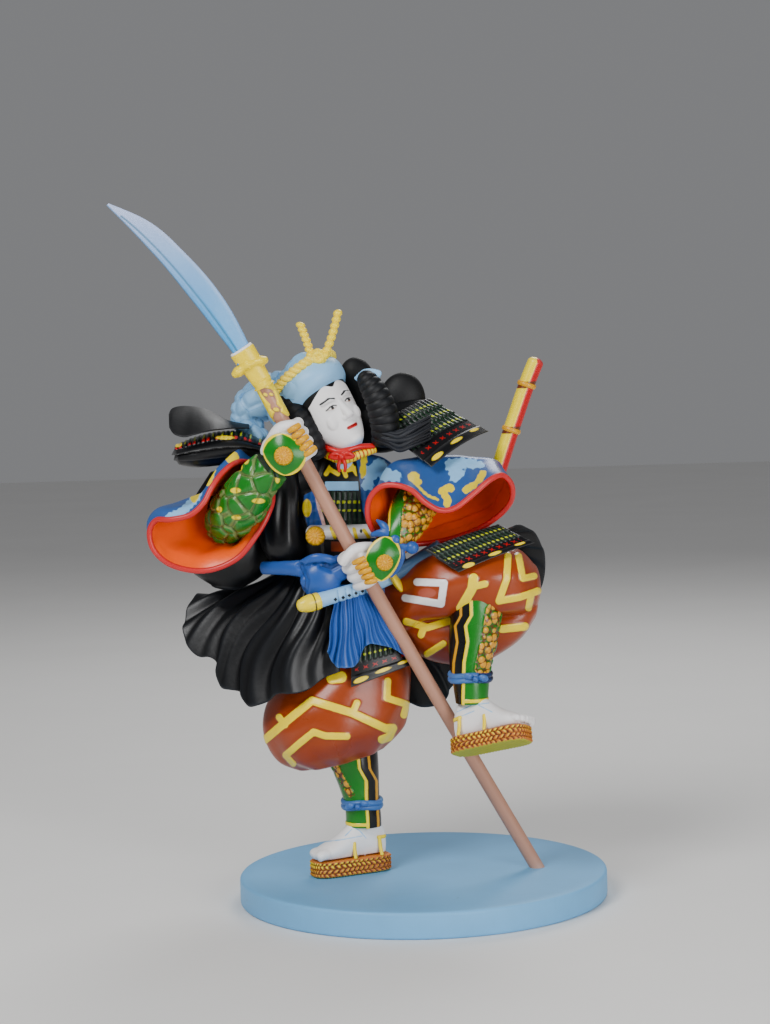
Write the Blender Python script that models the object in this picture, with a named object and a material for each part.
"""Painted warrior figurine with a glaive, on a round base board.

All sizes in this file are millimetres. Figure coordinates start at the centre of the base board's
top face: +X to the right, -Y towards the front, +Z up. Right and left are the figure's own.
"""

import bmesh
import bpy
import numpy as np
from math import atan2, cos, pi, radians, sin
from mathutils import Matrix, Vector
from mathutils.bvhtree import BVHTree

MM = 0.001

# Driving sizes
BASE_RADIUS = 88.0
BASE_HEIGHT = 12.5
BASE_EDGE = 1.2
STAFF_RADIUS = 3.3
STAFF_SOCKET = 6.0
DOWEL_RADIUS = 1.5
DOWEL_IN_BASE = 8.0
DOWEL_IN_FOOT = 7.0
SANDAL_LENGTH = 41.0
SANDAL_WIDTH = 16.5
SANDAL_HEIGHT = 8.0
FOOT_LENGTH = 36.0
FOOT_WIDTH = 14.0
FOOT_HEIGHT = 17.0
FOOT_AHEAD = 1.0
ROBE_WALL = 2.2
SLEEVE_WALL = 2.4
PANEL_WALL = 2.6
FINGER_RADIUS = 2.5
SWORD_RADIUS = 3.4
SCABBARD_RADIUS = 3.9
GAP = 0.3

# Places of the staff: where it enters the board, at the lower fist, and where the ferrule ends it
STAFF_FOOT = (54.6, -1.8, 0.0)
STAFF_GRIP = (-20.5, -25.0, 140.5)
STAFF_HEAD = (-68.5, -36.5, 238.0)

# Heights on the staff: the ferrule ends at its head, and the upper fist holds it below the ferrule
FERRULE_HEIGHT = 17.0
FIST_BELOW_FERRULE = 12.0
FERRULE_FOOT = STAFF_HEAD[2] - FERRULE_HEIGHT
UPPER_FIST = FERRULE_FOOT - FIST_BELOW_FERRULE
LOWER_FIST = 150.0

# Sandal centres, and their turns in degrees about X, Y and Z
RIGHT_SANDAL = (-34.6, -2.6, GAP)
RIGHT_TURN = (0.0, 0.0, 205.0)
LEFT_SANDAL = (32.6, -38.0, 68.3)
LEFT_TURN = (-20.0, -13.5, -28.0)

# Colour, roughness and metallic value of each finish
FINISH = {
    "board_blue": ((0.36, 0.60, 0.78), 0.55, 0.0),
    "dowel_steel": ((0.60, 0.60, 0.62), 0.35, 1.0),
    "staff_taupe": ((0.42, 0.26, 0.21), 0.50, 0.0),
    "yellow": ((0.90, 0.72, 0.05), 0.35, 0.0),
    "blade_blue": ((0.35, 0.58, 0.72), 0.30, 0.0),
    "straw": ((0.55, 0.28, 0.08), 0.60, 0.0),
    "white": ((0.86, 0.84, 0.82), 0.40, 0.0),
    "guard_green": ((0.03, 0.22, 0.04), 0.25, 0.0),
    "rust": ((0.32, 0.09, 0.03), 0.25, 0.0),
    "armour_dark": ((0.03, 0.07, 0.05), 0.35, 0.0),
    "black_robe": ((0.012, 0.013, 0.018), 0.35, 0.0),
    "sleeve_blue": ((0.07, 0.16, 0.36), 0.35, 0.0),
    "sash_blue": ((0.08, 0.19, 0.46), 0.35, 0.0),
    "hood_blue": ((0.50, 0.68, 0.82), 0.45, 0.0),
    "hair_black": ((0.012, 0.012, 0.014), 0.45, 0.0),
    "cord_red": ((0.45, 0.02, 0.03), 0.35, 0.0),
}


def curve_value(p0, p1, p2, p3, t):
    """Catmull-Rom value between p1 and p2."""
    return 0.5 * (2 * p1 + (p2 - p0) * t + (2 * p0 - 5 * p1 + 4 * p2 - p3) * t ** 2
                  + (3 * p1 - p0 - 3 * p2 + p3) * t ** 3)


def through(points, steps, closed=False):
    """Smooth curve through the points, with the given number of steps from one to the next."""
    values = [np.array(point, float) for point in points]
    count = len(values)
    curve = []
    for i in range(count if closed else count - 1):
        if closed:
            four = [values[(i + k - 1) % count] for k in range(4)]
        else:
            four = [values[max(0, min(count - 1, i + k - 1))] for k in range(4)]
        curve += [curve_value(*four, s / steps) for s in range(steps)]
    if not closed:
        curve.append(values[-1])
    return curve


def spaced(points, count, closed=False):
    """The smooth curve through the points, cut into points at even distances."""
    fine = through(points, 12, closed)
    if closed:
        fine.append(fine[0])
    fine = np.array(fine)
    travel = np.concatenate([[0], np.cumsum(np.linalg.norm(np.diff(fine, axis=0), axis=1))])
    marks = np.linspace(0, travel[-1], count + 1 if closed else count)
    curve = np.array([np.interp(marks, travel, fine[:, axis]) for axis in range(fine.shape[1])]).T
    return curve[:-1] if closed else curve


def face_outwards(bm):
    """Point all faces away from the middle of the mesh."""
    bmesh.ops.recalc_face_normals(bm, faces=bm.faces)
    middle = sum((vert.co for vert in bm.verts), Vector()) / len(bm.verts)
    flow = sum((face.calc_center_median() - middle).dot(face.normal) * face.calc_area()
               for face in bm.faces)
    if flow < 0:
        bmesh.ops.reverse_faces(bm, faces=bm.faces)


def skin(rings, cap_start=True, cap_end=True):
    """Tube mesh over closed rings of equal point counts, capped where asked."""
    sides = len(rings[0])
    last = len(rings) - 1
    bm = bmesh.new()
    bmesh.ops.create_cone(bm, cap_ends=True, segments=sides, radius1=1, radius2=1, depth=last)
    caps = [face for face in bm.faces if len(face.verts) == sides]
    rails = [edge for edge in bm.edges if abs(edge.verts[0].co.z - edge.verts[1].co.z) > 0.5]
    for face in caps:
        start = face.calc_center_median().z < 0
        if not (cap_start if start else cap_end):
            bmesh.ops.delete(bm, geom=[face], context="FACES_ONLY")
    if last > 1:
        bmesh.ops.subdivide_edges(bm, edges=rails, cuts=last - 1)
    for vert in bm.verts:
        row = round(vert.co.z + last / 2)
        column = round(atan2(vert.co.x, vert.co.y) / (2 * pi) * sides) % sides
        vert.co = rings[row][column]
    face_outwards(bm)
    return bm


def domed(rings, start, end):
    """Rings with rounded ends that stand out by the given lengths."""
    rings = [np.array(ring) for ring in rings]

    def dome(first, second, length):
        centre = first.mean(axis=0)
        way = centre - second.mean(axis=0)
        return centre + (first - centre) * 0.6 + way / np.linalg.norm(way) * length

    front = [dome(rings[0], rings[1], start)] if start else []
    back = [dome(rings[-1], rings[-2], end)] if end else []
    return front + rings + back


def station_rings(stations, sides, steps, ripple=None):
    """Elliptic rings: each station gives both edge points in XZ, the depth centre and half depth."""
    curve = through(stations, steps)
    rings = []
    for row, (xa, za, xb, zb, y, depth) in enumerate(curve):
        along = row / (len(curve) - 1)
        ring = []
        for side in range(sides):
            turn = 2 * pi * side / sides
            swell = 1.0 + (ripple(along, turn) if ripple else 0.0)
            across = cos(turn) * swell / 2
            ring.append(((xa + xb) / 2 + (xb - xa) * across, y + depth * swell * sin(turn),
                         (za + zb) / 2 + (zb - za) * across))
        rings.append(np.array(ring))
    return rings


def loft(stations, sides=16, steps=2, start=0.0, end=0.0, ripple=None):
    """Closed body over stations, with domes of the given lengths on its ends."""
    return skin(domed(station_rings(stations, sides, steps, ripple), start, end))


def rod(path, sides=10, steps=3, start=0.0, end=0.0, flat=1.0, wave=None):
    """Round body along a path of (x, y, z, radius); flat is its depth as a share of its width."""
    curve = through(path, steps)
    rings = []
    for row, point in enumerate(curve):
        ahead = curve[min(row + 1, len(curve) - 1)][:3] - curve[max(row - 1, 0)][:3]
        way = Vector(ahead).normalized()
        across = Vector((0, 1, 0)).cross(way).normalized()
        depth = way.cross(across)
        radius = point[3] * (1.0 + (wave(row / (len(curve) - 1)) if wave else 0.0))
        rings.append(np.array([Vector(point[:3]) + across * (radius * cos(2 * pi * side / sides))
                               + depth * (radius * flat * sin(2 * pi * side / sides))
                               for side in range(sides)]))
    return skin(domed(rings, start, end))


def egg(centre, half, turn=(0.0, 0.0, 0.0), rows=8, sides=12):
    """Ellipsoid with half sizes, turned by degrees about X, Y and Z."""
    bm = bmesh.new()
    bmesh.ops.create_uvsphere(bm, u_segments=sides, v_segments=rows, radius=1)
    bmesh.ops.scale(bm, vec=half, verts=bm.verts)
    bmesh.ops.transform(bm, matrix=heading_matrix(centre, turn), verts=bm.verts)
    return bm


def heading_matrix(centre, turn):
    """Placement from a centre and turns in degrees about X, then Y, then Z."""
    return (Matrix.Translation(centre) @ Matrix.Rotation(radians(turn[2]), 4, "Z")
            @ Matrix.Rotation(radians(turn[1]), 4, "Y") @ Matrix.Rotation(radians(turn[0]), 4, "X"))


def grid(place, across, down):
    """Open sheet whose points come from place(u, v), both from 0 to 1."""
    bm = bmesh.new()
    bmesh.ops.create_grid(bm, x_segments=across, y_segments=down, size=1)
    for vert in bm.verts:
        vert.co = place((vert.co.x + 1) / 2, (vert.co.y + 1) / 2)
    return bm


def body(name, finish, bm, bevel=0.0, wall=0.0, side=0.0):
    """Object in metres above the board from a mesh in millimetres, which this call frees."""
    mesh = bpy.data.meshes.new(name)
    bmesh.ops.scale(bm, vec=(MM, MM, MM), verts=bm.verts)
    bmesh.ops.translate(bm, vec=(0, 0, BASE_HEIGHT * MM), verts=bm.verts)
    bm.to_mesh(mesh)
    bm.free()
    piece = bpy.data.objects.new(name, mesh)
    bpy.context.collection.objects.link(piece)
    colour, roughness, metallic = FINISH[finish]
    material = bpy.data.materials.new(name)
    material.use_nodes = True
    shader = material.node_tree.nodes["Principled BSDF"]
    shader.inputs["Base Color"].default_value = (*colour, 1)
    shader.inputs["Roughness"].default_value = roughness
    shader.inputs["Metallic"].default_value = metallic
    mesh.materials.append(material)
    if wall:
        thicken = piece.modifiers.new("wall", "SOLIDIFY")
        thicken.thickness = wall * MM
        thicken.offset = side
        thicken.use_even_offset = True
        thicken.thickness_clamp = 1.0
        settle(piece)
    if bevel:
        edge = piece.modifiers.new("edge", "BEVEL")
        edge.width = bevel * MM
        edge.segments = 1
        edge.limit_method = "ANGLE"
    return piece


def settle(piece):
    """Make the modifiers' result the mesh, keep its largest body and point its faces outwards."""
    graph = bpy.context.evaluated_depsgraph_get()
    mesh = bpy.data.meshes.new_from_object(piece.evaluated_get(graph))
    piece.modifiers.clear()
    piece.data = mesh
    bm = bmesh.new()
    bm.from_mesh(mesh)
    if not bm.faces:
        bm.free()
        return
    islands = []
    seen = set()
    for first in bm.verts:
        if first in seen:
            continue
        seen.add(first)
        island = [first]
        for vert in island:
            for edge in vert.link_edges:
                other = edge.other_vert(vert)
                if other not in seen:
                    seen.add(other)
                    island.append(other)
        islands.append(island)
    if len(islands) > 1:
        islands.sort(key=island_size)
        crumbs = [vert for island in islands[:-1] for vert in island]
        bmesh.ops.delete(bm, geom=crumbs, context="VERTS")
    bmesh.ops.triangulate(bm, faces=bm.faces)
    face_outwards(bm)
    bm.to_mesh(mesh)
    bm.free()


def island_size(island):
    """Volume of the box around a group of points."""
    points = np.array([vert.co for vert in island])
    return float(np.prod(points.max(axis=0) - points.min(axis=0)))


def volume_of(mesh):
    """Volume in cubic millimetres, or 0 for a mesh with open edges."""
    bm = bmesh.new()
    bm.from_mesh(mesh)
    closed = all(len(edge.link_faces) == 2 for edge in bm.edges)
    volume = bm.calc_volume(signed=True) / MM ** 3 if closed else 0.0
    bm.free()
    return volume


def boolean(piece, other, operation, solver):
    """One Boolean step with a hidden second body."""
    other.hide_render = True
    other.display_type = "WIRE"
    step = piece.modifiers.new("boolean", "BOOLEAN")
    step.operation = operation
    step.solver = solver
    step.object = other
    settle(piece)


def unite(piece, lumps):
    """Join lumps to a piece; the manifold solver takes over where the exact one loses the body."""
    for lump in lumps:
        before = piece.data
        least = 0.9 * max(volume_of(before), volume_of(lump.data))
        for solver in ("EXACT", "MANIFOLD"):
            piece.data = before
            boolean(piece, lump, "UNION", solver)
            if volume_of(piece.data) > least:
                break
        bpy.data.objects.remove(lump)


def fused(name, finish, first, *meshes):
    """One cast body out of several overlapping meshes."""
    piece = body(name, finish, first)
    unite(piece, [body(name + "_lump", finish, mesh) for mesh in meshes])
    return piece


def swollen(carrier, clearance):
    """Copy of a carrier, larger all over by the clearance."""
    graph = bpy.context.evaluated_depsgraph_get()
    mesh = bpy.data.meshes.new_from_object(carrier.evaluated_get(graph))
    bm = bmesh.new()
    bm.from_mesh(mesh)
    bm.normal_update()
    moves = [vert.normal * min(vert.calc_shell_factor(), 1.6) * clearance * MM for vert in bm.verts]
    for vert, move in zip(bm.verts, moves):
        vert.co += move
    bm.to_mesh(mesh)
    bm.free()
    cutter = bpy.data.objects.new(carrier.name + "_room", mesh)
    bpy.context.collection.objects.link(cutter)
    return cutter


def touching(piece, carrier):
    """True where the surfaces of two pieces meet."""
    graph = bpy.context.evaluated_depsgraph_get()
    return bool(BVHTree.FromObject(piece, graph).overlap(BVHTree.FromObject(carrier, graph)))


def seat(piece, *carriers):
    """Cut a piece back so that it bears on its carriers with the clearance all round."""
    if piece.modifiers:
        settle(piece)
    for carrier in carriers:
        whole = piece.data
        least = 0.1 * volume_of(whole)
        for share, solver in ((1.0, "EXACT"), (1.0, "MANIFOLD"), (1.5, "EXACT"), (1.5, "MANIFOLD")):
            piece.data = whole
            cutter = swollen(carrier, share * GAP)
            boolean(piece, cutter, "DIFFERENCE", solver)
            bpy.data.objects.remove(cutter)
            if volume_of(piece.data) > least and not touching(piece, carrier):
                break
        else:
            raise RuntimeError(f"{piece.name} does not clear {carrier.name}")


def staff_point(height):
    """Point and upward direction of the staff's axis at a height above the board."""
    curve = through([STAFF_FOOT, STAFF_GRIP, STAFF_HEAD], 12)
    for low, high in zip(curve, curve[1:]):
        if low[2] <= height <= high[2]:
            share = (height - low[2]) / (high[2] - low[2])
            return Vector(low + (high - low) * share), Vector(high - low).normalized()
    end = curve[0] if height < 0 else curve[-1]
    way = curve[1] - curve[0] if height < 0 else curve[-1] - curve[-2]
    return Vector(end + way * (height - end[2]) / way[2]), Vector(way).normalized()


# Stations of the body, from the hips to the collar
TORSO = [
    (-47.5, 107.0, -4.0, 107.0, 6.0, 17.0),
    (-51.5, 126.5, -2.5, 129.5, 6.0, 18.5),
    (-54.5, 143.5, -4.0, 144.0, 6.0, 18.0),
    (-57.5, 158.0, -5.5, 161.0, 6.0, 17.0),
    (-60.5, 174.5, -6.5, 178.0, 6.0, 17.0),
    (-61.0, 188.0, -8.0, 190.5, 6.0, 15.5),
    (-55.0, 196.5, -14.0, 197.5, 6.0, 12.5),
    (-44.5, 200.5, -21.5, 200.5, 4.0, 8.5),
]


def make_torso():
    return body("torso", "armour_dark", loft(TORSO, sides=18, steps=1))


def torso_ring(height, offset, first_turn, last_turn, count):
    """Arc round the body at a height, standing off it; 0 degrees is +X and 90 is the back."""
    curve = through(TORSO, 8)
    station = min(curve, key=lambda s: abs((s[1] + s[3]) / 2 - height))
    xa, za, xb, zb, y, depth = station
    half = (xb - xa) / 2
    arc = []
    for i in range(count):
        turn = radians(first_turn + (last_turn - first_turn) * i / (count - 1))
        arc.append(((xa + xb) / 2 + (half + offset) * cos(turn),
                    y + (depth + offset) * sin(turn), height))
    return arc


def make_base(staff, dowel):
    bm = bmesh.new()
    bmesh.ops.create_cone(bm, cap_ends=True, segments=56, radius1=BASE_RADIUS, radius2=BASE_RADIUS,
                          depth=BASE_HEIGHT)
    bmesh.ops.translate(bm, vec=(0, 0, -BASE_HEIGHT / 2), verts=bm.verts)
    base = body("base_disc", "board_blue", bm, bevel=BASE_EDGE)
    seat(base, staff, dowel)
    return base


def make_staff():
    heights = np.linspace(-STAFF_SOCKET, STAFF_HEAD[2], 8)
    path = [(*staff_point(height)[0], STAFF_RADIUS) for height in heights]
    return body("staff", "staff_taupe", rod(path, sides=14, steps=1))


BLADE = [
    (-71.8, 250.0, -79.2, 245.0, -38.0, 2.4),
    (-73.5, 254.5, -80.5, 250.0, -38.5, 2.4),
    (-79.5, 267.5, -87.5, 260.0, -39.5, 2.2),
    (-85.5, 277.8, -95.0, 270.5, -40.5, 2.0),
    (-92.8, 287.8, -103.0, 281.3, -41.5, 1.8),
    (-101.5, 297.6, -110.5, 291.2, -42.5, 1.6),
    (-111.0, 307.3, -118.5, 300.7, -44.0, 1.3),
    (-120.5, 313.9, -126.0, 309.2, -45.0, 1.0),
    (-134.5, 320.3, -135.5, 319.4, -46.5, 0.4),
]


def make_blade():
    return body("glaive_blade", "blade_blue", loft(BLADE, sides=8, steps=1))


def make_ferrule(staff, blade):
    """Socket over the staff's end, two rings, a flat cross guard and the collar of the blade."""
    low, way = staff_point(FERRULE_FOOT)
    root = (Vector((BLADE[1][0], BLADE[1][4], BLADE[1][1]))
            + Vector((BLADE[1][2], BLADE[1][4], BLADE[1][3]))) / 2
    head = Vector(STAFF_HEAD)
    socket = [(*low.lerp(head, share), STAFF_RADIUS + swell)
              for share, swell in ((0.0, 0.9), (0.3, 1.2), (0.42, 2.0), (0.54, 1.2), (1.0, 1.8))]
    collar = [(*(head - way), 5.6), (*(head + (root - head) * 0.4), 5.4), (*root, 5.2)]
    guard = [(-80.2, -37.5, 239.5, 1.8), (-77, -37.5, 241.5, 2.6), (-69.5, -37, 245.8, 3.4),
             (-66.8, -36.5, 247.5, 2.2)]
    ferrule = fused("blade_ferrule", "yellow", rod(socket, sides=12, steps=1),
                    rod(collar, sides=10, steps=1, flat=0.62),
                    rod(guard, sides=8, steps=1, start=1.0, end=1.0, flat=1.9))
    seat(ferrule, staff, blade)
    return ferrule


def sandal_mesh(place):
    """Thick plaited sole, rounded at heel and toe and slightly waisted."""
    sides = 24
    rings = []
    for level, inset in ((0.0, 0.6), (0.12, 0.0), (0.88, 0.0), (1.0, 0.6)):
        ring = []
        for side in range(sides):
            turn = 2 * pi * side / sides
            x = abs(cos(turn)) ** 0.55 * (1 if cos(turn) > 0 else -1)
            y = abs(sin(turn)) ** 0.7 * (1 if sin(turn) > 0 else -1)
            waist = 1.0 - 0.09 * cos(pi * x / 2) ** 2 + 0.05 * x
            ring.append(((SANDAL_LENGTH / 2 - inset) * x, (SANDAL_WIDTH / 2 - inset) * y * waist,
                         SANDAL_HEIGHT * level))
        rings.append(ring)
    bm = skin(rings)
    bmesh.ops.transform(bm, matrix=place, verts=bm.verts)
    return bm


def foot_meshes(place):
    """Sock foot on top of the sandal: heel, arch and toes, then the four toe lumps."""
    top = SANDAL_HEIGHT + GAP
    back = FOOT_AHEAD - FOOT_LENGTH / 2
    rings = []
    for share, width, height in ((0.0, 0.42, 0.70), (0.09, 0.60, 0.97), (0.28, 0.68, 1.0),
                                 (0.46, 0.76, 0.90), (0.66, 0.92, 0.58), (0.86, 0.96, 0.36),
                                 (0.96, 0.80, 0.26)):
        ring = []
        for side in range(10):
            turn = 2 * pi * side / 10
            rise = FOOT_HEIGHT * height / 2
            ring.append((back + FOOT_LENGTH * share, FOOT_WIDTH / 2 * width * cos(turn),
                         top + rise + rise * max(-0.98, 1.25 * sin(turn) - 0.1)))
        rings.append(np.array(ring))
    meshes = [skin(domed(rings, 1.5, 1.0))]
    for side, reach in ((-0.34, 0.5), (-0.11, 0.8), (0.12, 0.9), (0.35, 0.6)):
        centre = (FOOT_AHEAD + FOOT_LENGTH / 2 - 2.2 + reach, FOOT_WIDTH * side, top + 2.6)
        meshes.append(egg(centre, (3.4, 1.9, 2.5), rows=4, sides=6))
    for bm in meshes:
        bmesh.ops.transform(bm, matrix=place, verts=bm.verts)
    return meshes


RIGHT_SHIN = [
    (-36.5, 22.5, -19.5, 22.0, 0.5, 7.5),
    (-36.5, 27.0, -19.5, 27.0, 1.0, 8.0),
    (-37.0, 33.0, -20.0, 33.5, 1.5, 8.0),
    (-39.0, 40.0, -20.0, 41.0, 2.5, 9.0),
    (-42.5, 50.0, -20.0, 51.0, 3.0, 10.5),
    (-44.5, 58.5, -20.5, 60.0, 4.0, 11.0),
    (-43.0, 69.0, -22.0, 69.0, 4.0, 11.0),
]

LEFT_SHIN = [
    (17.0, 84.5, 32.0, 84.5, -26.5, 6.8),
    (16.5, 88.5, 32.5, 88.5, -26.0, 7.2),
    (16.0, 93.0, 33.0, 93.5, -25.0, 8.0),
    (15.0, 99.5, 33.5, 100.0, -24.0, 8.5),
    (14.5, 108.0, 36.0, 109.0, -22.5, 9.5),
    (15.0, 118.0, 38.5, 118.5, -21.0, 10.5),
    (17.0, 130.0, 39.5, 130.0, -20.0, 11.0),
    (19.5, 138.0, 38.5, 138.0, -19.5, 9.5),
]


def make_shin(name, stations, place, carriers):
    """Shin guard and foot, cast in one."""
    piece = fused(name, "guard_green", loft(stations, sides=14, steps=1), *foot_meshes(place))
    seat(piece, *carriers)
    return piece


RIGHT_TROUSER = [
    (-42.0, 111.0, -11.0, 111.0, 6.0, 13.0),
    (-56.5, 99.5, -4.0, 100.0, 5.0, 21.5),
    (-70.0, 86.0, -3.5, 86.5, 4.0, 26.0),
    (-75.0, 73.5, -5.0, 78.0, 3.0, 27.5),
    (-73.5, 63.5, -7.5, 70.5, 3.0, 26.5),
    (-67.0, 54.5, -13.0, 64.0, 3.0, 21.5),
    (-57.5, 50.0, -17.0, 60.0, 3.5, 16.5),
]

LEFT_THIGH = [
    (-16.0, 147.0, -16.0, 113.0, 4.0, 13.0),
    (-7.0, 147.5, -7.0, 115.0, -2.0, 17.0),
    (1.5, 152.5, 1.5, 121.0, -8.0, 19.0),
    (12.0, 156.0, 13.0, 123.0, -12.0, 20.0),
    (26.0, 157.0, 27.0, 125.5, -14.0, 19.5),
    (39.0, 157.0, 39.0, 123.5, -14.5, 19.0),
    (49.5, 154.0, 49.5, 124.0, -13.0, 17.0),
    (56.0, 147.0, 55.5, 127.0, -10.0, 12.0),
]

LEFT_BAG = [
    (-7.5, 130.5, -7.0, 113.0, 4.0, 13.0),
    (1.0, 130.0, 2.0, 103.0, 4.0, 17.0),
    (14.0, 131.0, 14.5, 99.0, 3.0, 19.0),
    (28.0, 131.0, 29.0, 98.5, 2.0, 19.5),
    (40.0, 131.0, 40.5, 104.0, 0.0, 18.5),
    (50.5, 131.5, 50.0, 111.5, -2.0, 15.5),
    (56.0, 134.0, 56.0, 120.5, -4.0, 10.0),
]


def gathers(along, turn):
    """Puckers of the trouser cloth towards the band below the knee."""
    return 0.035 * max(0.0, along - 0.45) / 0.55 * cos(7 * turn)


def make_right_trouser(*carriers):
    trouser = body("right_trouser", "rust",
                   loft(RIGHT_TROUSER, sides=28, steps=1, end=1.5, ripple=gathers))
    seat(trouser, *carriers)
    return trouser


def make_left_trouser(*carriers):
    trouser = fused("left_trouser", "rust", loft(LEFT_THIGH, sides=18, steps=1, end=4.0),
                    loft(LEFT_BAG, sides=14, steps=1, end=3.0))
    seat(trouser, *carriers)
    return trouser


# Hem of the robe from the front of the right leg round the back to the front of the left hip
HEM = [
    (-37.5, -19.5, 101.0), (-47.5, -22.0, 94.0), (-55.0, -23.0, 92.0), (-63.5, -23.0, 90.5),
    (-70.5, -20.0, 87.0), (-79.0, -15.0, 84.5), (-85.5, -9.0, 89.0), (-93.5, -4.0, 92.5),
    (-97.0, 0.0, 103.0), (-107.5, 6.0, 108.5), (-113.0, 13.0, 119.0), (-106.0, 21.0, 133.0),
    (-99.5, 31.0, 121.5), (-82.5, 42.0, 95.0), (-48.5, 47.0, 76.5), (-13.5, 42.0, 76.0),
    (12.0, 34.0, 74.0), (18.5, 28.0, 87.5), (35.5, 27.0, 98.0), (55.5, 23.0, 121.0),
    (63.0, 15.0, 143.5), (57.5, 8.0, 161.0), (44.0, 2.0, 163.0),
]
ROBE_TOP = 149.0
BELT_HEIGHT = ROBE_TOP + 16.0
ROBE_FOLDS = 10


def robe_place(u, v):
    """Point of the robe: u runs round the body, v from the waist down to the hem."""
    waist = ROBE_WAIST[min(int(round(u * (len(ROBE_WAIST) - 1))), len(ROBE_WAIST) - 1)]
    hem = ROBE_HEM[min(int(round(u * (len(ROBE_HEM) - 1))), len(ROBE_HEM) - 1)]
    drop = Vector(hem) - Vector(waist)
    point = Vector(waist) + drop * v
    wing = max(0.0, 1 - abs(u - 0.40) / 0.20)
    point.z -= 4 * v * (1 - v) * (7.0 * wing)
    out = Vector((drop.x, drop.y, 0)).normalized()
    point += out * (4 * v * (1 - v)) * 3.0
    fold = sin(2 * pi * ROBE_FOLDS * u + 2.2 * v)
    return point + Vector((0, 0, 1)).cross(out).cross(drop).normalized() * fold * 1.7 * v * (1.1 - v)


ROBE_COLUMNS = 50
ROBE_WAIST = torso_ring(ROBE_TOP, ROBE_WALL / 2 + GAP, -118, -370, ROBE_COLUMNS + 1)
ROBE_HEM = spaced(HEM, ROBE_COLUMNS + 1)


def make_robe(*carriers):
    bm = grid(robe_place, ROBE_COLUMNS, 4)
    robe = body("robe", "black_robe", bm, wall=ROBE_WALL)
    seat(robe, *carriers)
    return robe


RIGHT_RIM = [
    (-82.0, -20.0, 200.0), (-88.5, -24.0, 195.5), (-93.5, -28.0, 189.0), (-97.5, -30.0, 182.0),
    (-104.0, -30.0, 176.5), (-113.5, -28.0, 174.5), (-120.5, -24.0, 174.0), (-124.0, -22.0, 168.5),
    (-122.5, -22.0, 160.0), (-115.5, -22.0, 153.0), (-104.5, -22.0, 149.5), (-93.5, -22.0, 150.0),
    (-82.5, -22.0, 155.0), (-74.5, -22.0, 164.0), (-68.0, -20.0, 174.5), (-65.5, -16.0, 183.5),
    (-69.0, -13.0, 193.0), (-75.5, -14.0, 199.0),
]

LEFT_RIM = [
    (-20.0, -26.0, 167.0), (-22.0, -30.0, 174.0), (-21.0, -32.0, 181.5), (-16.5, -34.0, 187.0),
    (-10.0, -36.0, 188.5), (-1.5, -38.0, 186.0), (5.0, -38.0, 180.0), (12.0, -37.0, 176.0),
    (19.5, -36.0, 177.0), (28.5, -34.0, 183.5), (35.5, -32.0, 189.0), (41.5, -28.0, 191.0),
    (46.0, -24.0, 186.5), (46.5, -20.0, 179.5), (43.0, -16.0, 173.5), (36.0, -12.0, 167.5),
    (26.5, -8.0, 162.5), (14.5, -6.0, 159.0), (2.5, -6.0, 157.5), (-7.0, -10.0, 158.5),
    (-15.0, -18.0, 161.5),
]

LEFT_SHOULDER = [
    (-12.0, -15.5, 172.0), (-14.0, -16.0, 182.0), (-14.0, -14.5, 191.0), (-8.0, -13.0, 197.5),
    (2.0, -11.0, 199.5), (14.0, -9.0, 199.5), (26.0, -7.0, 199.0), (36.0, -4.0, 197.0),
    (42.5, 1.0, 192.0), (43.5, 6.0, 184.0), (38.0, 9.0, 175.5), (26.0, 11.0, 169.0),
    (11.0, 10.0, 165.0), (-2.0, 4.0, 163.5), (-9.0, -7.0, 166.0),
]


def shrunk(ring, share, centre):
    """Ring scaled about its own centre and moved to a new centre."""
    middle = ring.mean(axis=0)
    return np.array(centre) + (ring - middle) * share


def make_sleeve(name, rings):
    """Cloth bag from its mouth to a closed end inside the shoulder."""
    bm = skin(rings, cap_start=False)
    return body(name, "sleeve_blue", bm, wall=SLEEVE_WALL, side=-1.0)


def make_right_sleeve():
    rim = spaced(RIGHT_RIM, 24, closed=True)
    return make_sleeve("right_sleeve", [
        rim, shrunk(rim, 0.97, (-93.5, -17.0, 178.0)), shrunk(rim, 0.86, (-88.5, -8.0, 180.0)),
        shrunk(rim, 0.70, (-83.5, 0.0, 183.0)), shrunk(rim, 0.50, (-78.0, 7.5, 186.0)),
    ])


def make_left_sleeve():
    rim = spaced(LEFT_RIM, 26, closed=True)
    shoulder = spaced(LEFT_SHOULDER, 26, closed=True)
    return make_sleeve("left_sleeve", [
        rim, rim * 0.62 + shoulder * 0.38 + np.array((0, 1.0, 0.6)),
        rim * 0.25 + shoulder * 0.75 + np.array((0, 0.5, 0.8)), shoulder,
        shrunk(shoulder, 0.78, (11.0, 7.5, 184.0)), shrunk(shoulder, 0.42, (7.0, 12.0, 184.0)),
    ])


ROBE_SLEEVE = [
    (-97.0, 193.0, -72.0, 190.0, 4.0, 7.0),
    (-104.0, 182.0, -66.0, 178.0, 3.0, 11.0),
    (-111.5, 168.0, -65.0, 165.0, 1.0, 13.0),
    (-114.0, 156.0, -67.5, 152.0, 0.0, 13.0),
    (-107.0, 146.0, -73.0, 143.5, 0.0, 11.0),
    (-98.0, 139.5, -82.0, 138.0, 0.0, 7.0),
]


def make_robe_sleeve(*carriers):
    pouch = body("robe_sleeve", "black_robe", loft(ROBE_SLEEVE, sides=16, steps=1, start=2.0, end=2.0))
    seat(pouch, *carriers)
    return pouch


RIGHT_FOREARM = [
    (-90.5, -4.0, 167.5, 8.5), (-86.5, -13.0, 173.5, 11.0), (-80.0, -21.0, 180.5, 11.8),
    (-73.0, -27.5, 190.0, 10.2), (-65.5, -30.5, 198.0, 8.6),
]

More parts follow.
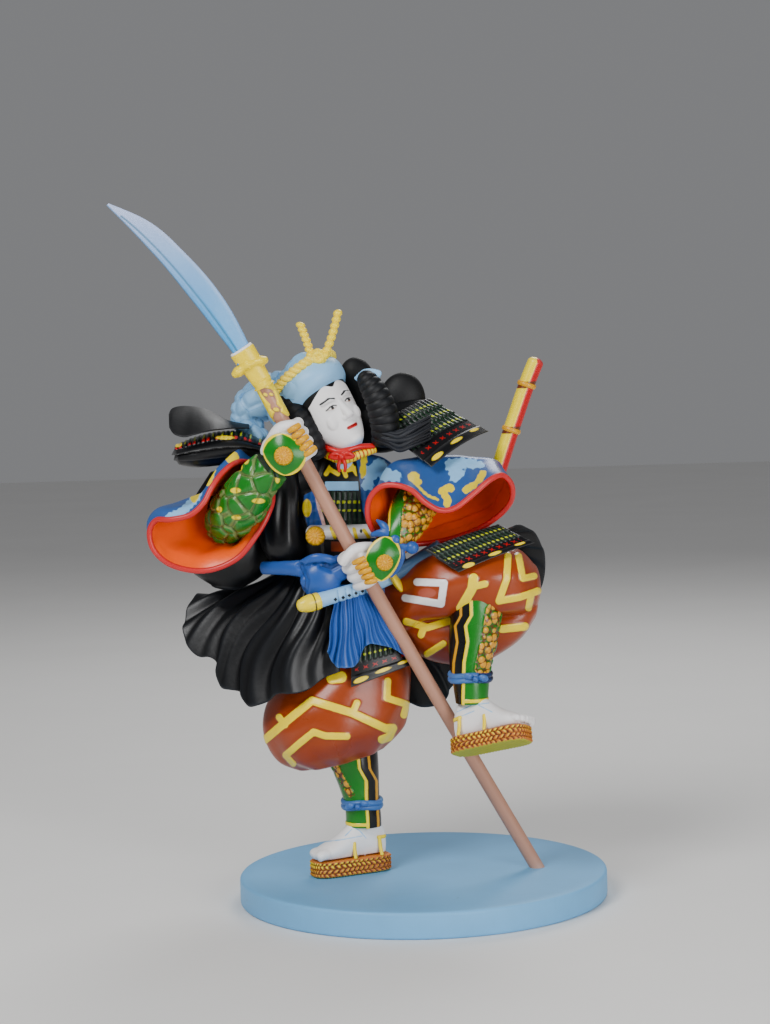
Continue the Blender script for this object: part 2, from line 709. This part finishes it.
LEFT_FOREARM = [
    (9.0, 2.0, 188.0, 8.5), (4.0, -12.0, 183.0, 10.0), (-1.0, -21.0, 175.5, 10.0),
    (-6.0, -27.0, 167.5, 8.8), (-11.5, -29.5, 159.5, 7.4),
]


def make_forearm(name, path, *carriers):
    piece = body(name, "guard_green", rod(path, sides=14, steps=2, start=2.0))
    seat(piece, *carriers)
    return piece


def make_fist(name, height, wrist, side, *carriers):
    """Fist round the staff; side is +1 where the finger ends lie to the right of the staff."""
    centre, way = staff_point(height)
    front = Vector((0, -1, 0))
    front = (front - way * front.dot(way)).normalized()
    across = way.cross(front).normalized()
    if across.x < 0:
        across = -across
    ring = STAFF_RADIUS + FINGER_RADIUS + GAP / 2
    meshes = []
    for finger in range(4):
        level = centre + way * ((1.5 - finger) * FINGER_RADIUS * 1.9)
        path = []
        for step in range(5):
            turn = radians(-66 + 53 * step)
            path.append((*(level + front * ring * cos(turn) + across * side * ring * sin(turn)),
                         FINGER_RADIUS))
        meshes.append(finger_mesh(path, way))
    knuckles = centre + front * (ring + 1.0) - across * side * 1.5
    heel = centre - across * side * (ring + 2.5) + front * 2.0
    palm = [(*wrist, 6.8), (*((Vector(wrist) + heel) / 2 + front * 1.0), 7.6), (*heel, 8.6),
            (*knuckles, 8.8)]
    fist = fused(name, "white", palm_mesh(palm, way), *meshes)
    seat(fist, *carriers)
    return fist


def finger_mesh(path, way):
    """Bent round bar in the plane across the staff."""
    rings = []
    for row, point in enumerate(path):
        ahead = Vector(path[min(row + 1, len(path) - 1)][:3]) - Vector(path[max(row - 1, 0)][:3])
        out = way.cross(ahead.normalized())
        rings.append(np.array([Vector(point[:3]) + (way * cos(pi * k / 3) + out * sin(pi * k / 3))
                               * point[3] for k in range(6)]))
    return skin(domed(rings, 1.2, 1.2))


def palm_mesh(path, way):
    """Back of the hand: a slab as wide as the four fingers along the staff."""
    rings = []
    for row, point in enumerate(path):
        ahead = Vector(path[min(row + 1, len(path) - 1)][:3]) - Vector(path[max(row - 1, 0)][:3])
        ahead.normalize()
        wide = (way - ahead * way.dot(ahead)).normalized()
        thick = ahead.cross(wide)
        rings.append(np.array([Vector(point[:3]) + wide * (point[3] * cos(pi * k / 5))
                               + thick * (point[3] * 0.52 * sin(pi * k / 5)) for k in range(10)]))
    return skin(domed(rings, 1.0, 1.5))


# Head in its own frame: X across, -Y is where the face looks, Z up from the chin
HEAD_PLACE = heading_matrix((-31.5, -6.0, 203.0), (0, 0, 0)) @ Matrix.Rotation(
    radians(-24), 4, "Y") @ Matrix.Rotation(radians(36), 4, "Z")
HEAD_RINGS = [
    (0.0, 4.5, -12.0, -3.0), (3.0, 7.5, -14.0, 1.0), (8.0, 10.5, -14.6, 5.0), (14.0, 12.8, -14.4, 9.0),
    (20.0, 14.0, -14.2, 12.5), (26.0, 14.2, -14.0, 14.5), (31.0, 14.0, -13.6, 15.0),
    (36.0, 12.6, -11.6, 13.5), (40.0, 9.6, -8.0, 10.0), (43.0, 5.0, -3.5, 5.0),
]


def head_body(rows, sides):
    """Rings in the head's frame: height, half width, front and back."""
    rings = []
    for z, half, front, back in rows:
        ring = []
        for side in range(sides):
            turn = 2 * pi * side / sides
            middle = (front + back) / 2
            ring.append(HEAD_PLACE @ Vector((half * cos(turn), middle + (back - front) / 2 * sin(turn), z)))
        rings.append(np.array(ring))
    return rings


def make_head(*carriers):
    """Head of plain proportions: eyes half way up, nose tip and mouth below, ears under the hood."""
    nose = []
    for z, reach, half in ((22.5, -14.0, 1.4), (18.5, -15.6, 1.8), (14.8, -17.4, 2.3), (13.4, -16.0, 2.2)):
        nose.append(np.array([HEAD_PLACE @ Vector((half * cos(pi * k / 4), reach + 2.0
                                                  + half * sin(pi * k / 4), z)) for k in range(8)]))
    neck = [(-34.0, -1.0, 195.0, 7.5), (-33.5, -1.5, 203.0, 7.2), (-35.0, -1.0, 212.0, 7.5)]
    lips = egg(HEAD_PLACE @ Vector((0, -14.0, 9.4)), (3.4, 1.5, 1.3), (0, -24, 36), 6, 8)
    head = fused("head", "white", skin(domed(head_body(HEAD_RINGS, 16), 1.5, 1.5)),
                 skin(domed(nose, 0.8, 0.8)), rod(neck, sides=12, steps=1), lips)
    seat(head, *carriers)
    return head


# Hood in the head's frame, as the head's rings, and the slope of the cord from the brow to the nape
HOOD_RINGS = [
    (23.0, 16.4, -6.0, 18.5), (28.5, 17.2, -9.5, 20.0), (33.5, 17.2, -14.0, 20.0), (38.5, 16.2, -15.8, 19.0),
    (43.0, 13.6, -13.2, 16.0), (47.0, 9.0, -8.6, 10.5), (49.6, 3.5, -3.0, 4.0),
]
CORD_RADIUS = 1.9
CORD_BROW = (-12.8, 46.2)
CORD_SLOPE = -0.35


def make_hood(*carriers):
    """Cloth over the skull, tied behind, with its loose end bunched at the figure's right shoulder."""
    bunch = rod([(-53.0, 8.0, 231.0, 7.5), (-64.0, 12.0, 231.0, 9.5), (-74.0, 13.0, 225.0, 10.0),
                 (-78.0, 12.0, 217.0, 7.5), (-72.0, 8.0, 208.0, 5.0)], sides=10, steps=1, start=2, end=2)
    hood = fused("hood", "hood_blue", skin(domed(head_body(HOOD_RINGS, 16), 0, 1.0)), bunch,
                 egg((-58.0, 6.0, 220.0), (10.0, 8.0, 9.0), (0, 20, 0), 6, 8))
    seat(hood, *carriers)
    return hood


def twist(along):
    """Ridges of a twisted cord."""
    return 0.14 * cos(2 * pi * 4 * along)


def cord_point(turn):
    """Point where the sloping cord lies on the hood, at a turn in degrees about the head."""
    heights, halves, fronts, backs = zip(*HOOD_RINGS)
    z = CORD_BROW[1]
    for _ in range(8):
        front = np.interp(z, heights, fronts)
        back = np.interp(z, heights, backs)
        y = (front + back) / 2 + ((back - front) / 2 + CORD_RADIUS / 2) * sin(radians(turn))
        z = CORD_BROW[1] + CORD_SLOPE * (y - CORD_BROW[0])
    half = np.interp(z, heights, halves) + CORD_RADIUS / 2
    return HEAD_PLACE @ Vector((half * cos(radians(turn)), y, z))


def make_headband(*carriers):
    """Twisted cord round the hood with its two ends standing up."""
    band = [(*cord_point(turn), CORD_RADIUS) for turn in np.linspace(-96, -432, 19)]
    first = [(-45.5, -16.0, 245.5, 2.1), (-47.5, -14.0, 254.0, 2.2), (-50.5, -11.0, 262.5, 2.2)]
    second = [(-39.5, -16.0, 247.5, 2.1), (-36.0, -13.0, 257.0, 2.2), (-33.0, -9.0, 267.5, 2.2)]
    cord = fused("headband", "yellow", rod(band, sides=6, steps=1, start=0.8, end=0.8),
                 rod(first, sides=7, steps=6, end=1.2, wave=twist),
                 rod(second, sides=7, steps=6, end=1.2, wave=twist),
                 egg((-42.5, -15.5, 247.5), (4.8, 3.2, 3.2), rows=5, sides=8))
    seat(cord, *carriers)
    return cord


def hair_ridges(along):
    """Ridges of a bound hair lock."""
    return 0.08 * cos(2 * pi * 6 * along)


RIGHT_LOCK = [(-59.5, -6.0, 230.0, 2.6), (-57.0, -11.0, 226.5, 4.2), (-52.5, -15.5, 219.5, 4.8),
              (-47.5, -16.0, 210.5, 4.8), (-44.5, -15.0, 201.0, 4.2)]
LEFT_LOCK = [(-22.5, -9.5, 241.0, 2.5), (-19.5, -12.5, 235.0, 4.4), (-15.0, -14.0, 226.5, 5.6),
             (-12.5, -14.0, 216.0, 5.8), (-14.0, -12.0, 206.0, 4.2)]


def make_lock(name, path, *carriers):
    lock = body(name, "hair_black", rod(path, sides=10, steps=5, start=1.5, end=1.5, wave=hair_ridges))
    seat(lock, *carriers)
    return lock


def make_hair_bundle(*carriers):
    path = [(-14.0, -18.0, 209.0, 4.0), (-7.0, -19.0, 208.0, 5.6), (1.0, -17.0, 210.0, 5.4),
            (7.5, -12.0, 214.0, 3.6)]
    bundle = body("hair_bundle", "hair_black", rod(path, sides=10, steps=2, start=1.5, end=1.5))
    seat(bundle, *carriers)
    return bundle


def make_collar_cord(*carriers):
    path = [(-44.0, -9.0, 206.5, 1.3), (-39.5, -14.5, 204.5, 1.5), (-33.0, -17.0, 203.0, 1.6),
            (-26.0, -15.5, 205.0, 1.5), (-18.0, -12.0, 205.0, 1.3)]
    knot = egg((-33.0, -17.5, 200.5), (2.8, 2.2, 2.6), rows=6, sides=10)
    cord = fused("collar_cord", "cord_red", rod(path, sides=8, steps=2, start=0.8, end=0.8), knot)
    seat(cord, *carriers)
    return cord


def panel_place(corners, bulge, rows):
    """Laced panel over four corners: top left, top right, bottom right, bottom left."""
    a, b, c, d = (Vector(corner) for corner in corners)
    out = (b - a).cross(d - a).normalized()
    if out.y > 0:
        out = -out

    def place(u, v):
        point = (a * (1 - u) + b * u) * (1 - v) + (d * (1 - u) + c * u) * v
        lap = (v * rows) % 1.0 if v < 1 else 1.0
        return point + out * (bulge * 4 * u * (1 - u) + 1.1 * lap)
    return place


def make_panel(name, corners, bulge, rows, *carriers):
    """Armour panel of overlapping laced rows."""
    bm = grid(panel_place(corners, bulge, rows), 6, rows * 2)
    panel = body(name, "armour_dark", bm, wall=PANEL_WALL)
    seat(panel, *carriers)
    return panel


LEFT_GUARD = ((-15.0, -7.0, 214.0), (9.5, 8.0, 225.5), (36.5, 4.0, 208.5), (8.5, -22.0, 194.0))


def make_left_shoulder_guard(*carriers):
    guard = fused("left_shoulder_guard", "armour_dark",
                  rod([(-10.0, 0.0, 216.0, 7.0), (4.0, 2.0, 218.0, 7.0), (13.0, 3.0, 217.0, 4.5)],
                      sides=10, steps=1, start=2, end=2))
    plate = body("left_guard_rows", "armour_dark", grid(panel_place(LEFT_GUARD, 3.0, 5), 6, 10),
                 wall=PANEL_WALL)
    unite(guard, [plate])
    seat(guard, *carriers)
    return guard


# Curled top plate of the right shoulder guard: its front and back edge from the neck to the curl
PLATE_FRONT = [(-84.9, -6.0, 214.9), (-89.0, -9.0, 214.7), (-93.1, -12.0, 214.5), (-97.6, -14.0, 213.8),
               (-102.3, -15.0, 212.8), (-106.5, -15.0, 212.0), (-111.3, -13.0, 213.4), (-113.9, -8.0, 216.5)]
PLATE_BACK = [(-85.9, 12.0, 217.1), (-89.6, 12.0, 219.1), (-93.9, 12.0, 221.6), (-99.0, 12.0, 223.9),
              (-104.7, 12.0, 225.0), (-110.0, 12.0, 225.2), (-113.8, 11.0, 224.1), (-115.2, 10.0, 221.4)]


def make_right_shoulder_guard(*carriers):
    """Curled top plate over a stack of laced rows, seen from their lower edge."""
    front = spaced(PLATE_FRONT, 13)
    back = spaced(PLATE_BACK, 13)

    def place(u, v):
        column = int(round(u * 12))
        point = Vector(front[column]).lerp(Vector(back[column]), v)
        return point + Vector((0, 0, 1.5 * sin(pi * v)))
    stack = [(-110.5, 208.0, -109.0, 199.0, -2.0, 9.0), (-102.0, 209.5, -102.0, 199.5, -1.0, 13.0),
             (-91.0, 210.0, -92.0, 200.0, 1.0, 15.0), (-80.0, 208.5, -81.0, 200.5, 2.0, 15.0),
             (-70.0, 207.0, -71.0, 201.0, 3.0, 13.0)]
    guard = body("right_shoulder_guard", "armour_dark", grid(place, 12, 3), wall=PANEL_WALL)
    unite(guard, [body("right_guard_rows", "armour_dark",
                       loft(stack, sides=12, steps=1, start=2, end=1))])
    seat(guard, *carriers)
    return guard


def make_robe_lobes(*carriers):
    """Two stiff rounded lobes that stand up behind the head."""
    lobes = fused("robe_lobes", "black_robe", egg((-26.5, 13.0, 229.0), (9.5, 6.5, 14.5), (0, -6, 0), 8, 10),
                  egg((-4.0, 15.0, 224.0), (11.5, 6.5, 14.5), (0, 8, 0)),
                  egg((-15.0, 13.0, 212.0), (17.0, 7.0, 12.0)))
    seat(lobes, *carriers)
    return lobes


def make_belt(*carriers):
    """Belt band across the front with a rosette at its end."""
    arc = torso_ring(BELT_HEIGHT, 2.0, -125, -52, 9)
    band = rod([(*point, 2.6) for point in arc], sides=8, steps=1, start=0.8, end=0.8, flat=2.2)
    rosette = egg((-46.5, -16.5, BELT_HEIGHT - 1.2), (4.7, 3.0, 4.7), rows=6, sides=10)
    belt = fused("belt", "yellow", band, rosette)
    seat(belt, *carriers)
    return belt


def make_sash(*carriers):
    wrap = [(-69.0, -9.0, 148.5, 3.6), (-62.0, -15.0, 148.8, 3.6), (-54.0, -19.0, 148.5, 4.0),
            (-46.0, -21.0, 147.0, 4.6)]
    sash = fused("sash", "sash_blue", rod(wrap, sides=10, steps=1, start=1.0, end=1.0, flat=0.75),
                 egg((-43.0, -21.5, 143.5), (8.8, 5.6, 8.6), (0, 24, 0), 6, 10),
                 egg((-37.0, -20.5, 149.5), (8.0, 4.6, 6.4), (0, -22, 0), 6, 10))
    seat(sash, *carriers)
    return sash


def tails_place(u, v):
    """Pleated sash ends: u across, v from the knot down to the cut ends."""
    top = Vector((-34.0, -21.0, 139.0)).lerp(Vector((-19.0, -18.0, 139.0)), u)
    low = Vector((-42.5, -27.5, 106.0)).lerp(Vector((-7.0, -22.0, 104.5)), u)
    low.z += 5.5 * sin(3 * pi * u) ** 2
    point = top.lerp(low, v)
    point.y -= 1.0 * sin(pi * v) + 1.2 * v * cos(2 * pi * 4.5 * u)
    return point


def make_sash_tails(*carriers):
    tails = body("sash_tails", "sash_blue", grid(tails_place, 27, 3), wall=1.5)
    seat(tails, *carriers)
    return tails


def make_short_sword(*carriers):
    hilt = [(-52.0, -31.0, 133.3, SWORD_RADIUS + 0.4), (-49.0, -30.0, 134.0, SWORD_RADIUS + 0.7),
            (-44.5, -28.3, 135.0, SWORD_RADIUS + 0.4), (-37.5, -25.0, 136.5, SWORD_RADIUS),
            (-21.5, -17.0, 139.8, SWORD_RADIUS), (-11.0, -14.5, 143.5, SWORD_RADIUS)]
    sheath = [(-11.0, -14.5, 143.5, SWORD_RADIUS - 0.3), (0.0, -15.0, 150.0, SWORD_RADIUS),
              (12.0, -17.0, 157.0, SWORD_RADIUS + 0.3)]
    guard = egg((-9.5, -15.5, 143.0), (2.4, 6.5, 7.0), (0, -30, 0), 5, 10)
    sword = fused("short_sword", "hood_blue", rod(hilt, sides=10, steps=1, start=1.5),
                  rod(sheath, sides=10, steps=1, end=1.0), guard)
    seat(sword, *carriers)
    return sword


def make_long_scabbard(*carriers):
    path = [(61.0, 24.0, 241.0), (56.5, 23.5, 230.5), (48.5, 22.0, 209.0), (41.0, 20.0, 187.5),
            (33.0, 17.5, 164.0), (27.0, 16.0, 148.0)]
    scabbard = fused("long_scabbard", "yellow",
                     rod([(*point, SCABBARD_RADIUS) for point in path], sides=12, steps=1, start=2.5))
    rings = [rod([(*(np.array(point) - np.array((0.4, 0, 1.1))), SCABBARD_RADIUS + 0.8),
                  (*(np.array(point) + np.array((0.4, 0, 1.1))), SCABBARD_RADIUS + 0.8)], sides=12, steps=1)
             for point in (path[1], path[2])]
    unite(scabbard, [body("scabbard_ring", "yellow", ring) for ring in rings])
    seat(scabbard, *carriers)
    return scabbard


def make_tie(name, stations, row, side, *carriers):
    """Cloth tie round a shin guard with a small bow."""
    curve = through(stations, 4)
    xa, za, xb, zb, y, depth = curve[row]
    middle = Vector(((xa + xb) / 2, y, (za + zb) / 2))
    rings = []
    for step in range(14):
        turn = 2 * pi * step / 14
        out = Vector(((xb - xa) / 2 * cos(turn), depth * sin(turn), 0))
        way = out.normalized()
        rings.append(np.array([middle + out + way * (1.0 + 1.5 * cos(pi * k / 2.5))
                               + Vector((0, 0, 2.6 * sin(pi * k / 2.5))) for k in range(5)]))
    bm = skin(rings + [rings[0]], cap_start=False, cap_end=False)
    bmesh.ops.remove_doubles(bm, verts=bm.verts, dist=0.01)
    face_outwards(bm)
    front = middle + Vector((side * 2.0, -depth - 2.5, 0))
    bow = [egg(front + Vector((reach, 0, 0.5)), (4.2, 2.2, 2.6), (0, tilt, 0), 4, 6)
           for reach, tilt in ((-4.2, 18), (4.2, -18))]
    tie = fused(name, "sash_blue", bm, *bow, egg(front, (2.4, 2.6, 2.6), rows=4, sides=6))
    seat(tie, *carriers)
    return tie


def make_wrist_bow(*carriers):
    bow = fused("wrist_bow", "sash_blue",
                rod([(-16.0, -30.5, 165.0, 2.2), (-11.0, -34.0, 163.0, 2.8), (-5.5, -35.0, 157.5, 3.2),
                     (-2.0, -33.0, 154.5, 2.6)], sides=8, steps=1, start=1, end=1),
                egg((2.0, -34.0, 156.0), (4.0, 3.2, 3.2), rows=6, sides=10),
                rod([(-6.0, -34.0, 157.0, 2.4), (-8.0, -35.0, 150.0, 2.2), (-10.0, -34.0, 144.5, 1.6)],
                    sides=8, steps=1, end=1))
    seat(bow, *carriers)
    return bow


FRONT_PANEL = ((-30.5, -17.0, 121.5), (-7.0, -13.5, 121.5), (-2.5, -13.5, 101.5), (-32.0, -21.5, 92.5))
SIDE_PANEL = ((4.5, -29.5, 157.0), (39.5, -19.0, 167.0), (55.5, -21.5, 157.5), (19.5, -34.0, 146.0))


def make_dowel():
    bm = bmesh.new()
    length = DOWEL_IN_BASE + SANDAL_HEIGHT + DOWEL_IN_FOOT
    bmesh.ops.create_cone(bm, cap_ends=True, segments=12, radius1=DOWEL_RADIUS, radius2=DOWEL_RADIUS,
                          depth=length)
    ankle = RIGHT_SHIN[0]
    bmesh.ops.translate(bm, vec=((ankle[0] + ankle[2]) / 2, ankle[4], length / 2 - DOWEL_IN_BASE),
                        verts=bm.verts)
    return body("foot_dowel", "dowel_steel", bm)


def main():
    for old in list(bpy.data.objects):
        bpy.data.objects.remove(old)
    staff = make_staff()
    dowel = make_dowel()
    base = make_base(staff, dowel)
    blade = make_blade()
    make_ferrule(staff, blade)

    right_place = heading_matrix(RIGHT_SANDAL, RIGHT_TURN)
    left_place = (heading_matrix(LEFT_SANDAL, LEFT_TURN)
                  @ Matrix.Translation((0, 0, -SANDAL_HEIGHT / 2)))
    right_sandal = body("right_sandal", "straw", sandal_mesh(right_place))
    seat(right_sandal, dowel)
    left_sandal = body("left_sandal", "straw", sandal_mesh(left_place))

    torso = make_torso()
    robe = make_robe(torso)
    right_sleeve = make_right_sleeve()
    left_sleeve = make_left_sleeve()
    seat(torso, right_sleeve, left_sleeve)
    robe_sleeve = make_robe_sleeve(torso, right_sleeve, robe)

    left_shin = make_shin("left_shin_and_foot", LEFT_SHIN, left_place, [left_sandal, staff])
    front_panel = make_panel("front_panel", FRONT_PANEL, 1.5, 4, torso, robe, staff)
    side_panel = make_panel("side_panel", SIDE_PANEL, 1.5, 4, torso, robe, left_sleeve)
    right_trouser = make_right_trouser(torso, robe, front_panel)
    left_trouser = make_left_trouser(torso, robe, left_shin, side_panel, right_trouser, front_panel,
                                     staff)
    right_shin = make_shin("right_shin_and_foot", RIGHT_SHIN, right_place,
                           [right_sandal, dowel, right_trouser])
    make_tie("right_ankle_tie", RIGHT_SHIN, 8, -1, right_shin)
    make_tie("left_ankle_tie", LEFT_SHIN, 8, 1, left_shin, staff)

    right_forearm = make_forearm("right_forearm", RIGHT_FOREARM, right_sleeve, staff, robe_sleeve)
    left_forearm = make_forearm("left_forearm", LEFT_FOREARM, left_sleeve, staff, torso)
    right_hand = make_fist("right_hand", UPPER_FIST, (-63.5, -31.0, 200.5), 1, staff, right_forearm)
    left_hand = make_fist("left_hand", LOWER_FIST, (-13.0, -29.8, 157.5), -1, staff, left_forearm)
    make_wrist_bow(left_hand, left_forearm, left_sleeve, staff)

    head = make_head(torso)
    right_lock = make_lock("right_hair_lock", RIGHT_LOCK, head, torso, staff, right_hand)
    left_lock = make_lock("left_hair_lock", LEFT_LOCK, head, torso, left_sleeve)
    hood = make_hood(head, torso, right_sleeve, staff, right_lock, left_lock)
    make_headband(hood, head, staff)
    lobes = make_robe_lobes(head, hood, torso, left_lock, left_sleeve)
    bundle = make_hair_bundle(left_lock, head, left_sleeve, torso, lobes)
    make_collar_cord(torso, head, right_lock, left_lock, bundle, left_sleeve)
    left_guard = make_left_shoulder_guard(lobes, bundle, left_lock, left_sleeve, head, torso)
    right_guard = make_right_shoulder_guard(hood, right_sleeve, torso, right_forearm, robe_sleeve,
                                            right_lock)

    belt = make_belt(torso, left_hand, staff, left_sleeve, right_sleeve)
    sash = make_sash(torso, robe, belt, staff, left_hand, robe_sleeve)
    sword = make_short_sword(torso, robe, sash, left_hand, staff, left_trouser, side_panel, left_sleeve)
    make_sash_tails(sash, sword, front_panel, robe, torso, staff, right_trouser, left_hand)
    make_long_scabbard(left_sleeve, robe, torso, left_trouser, side_panel)


main()
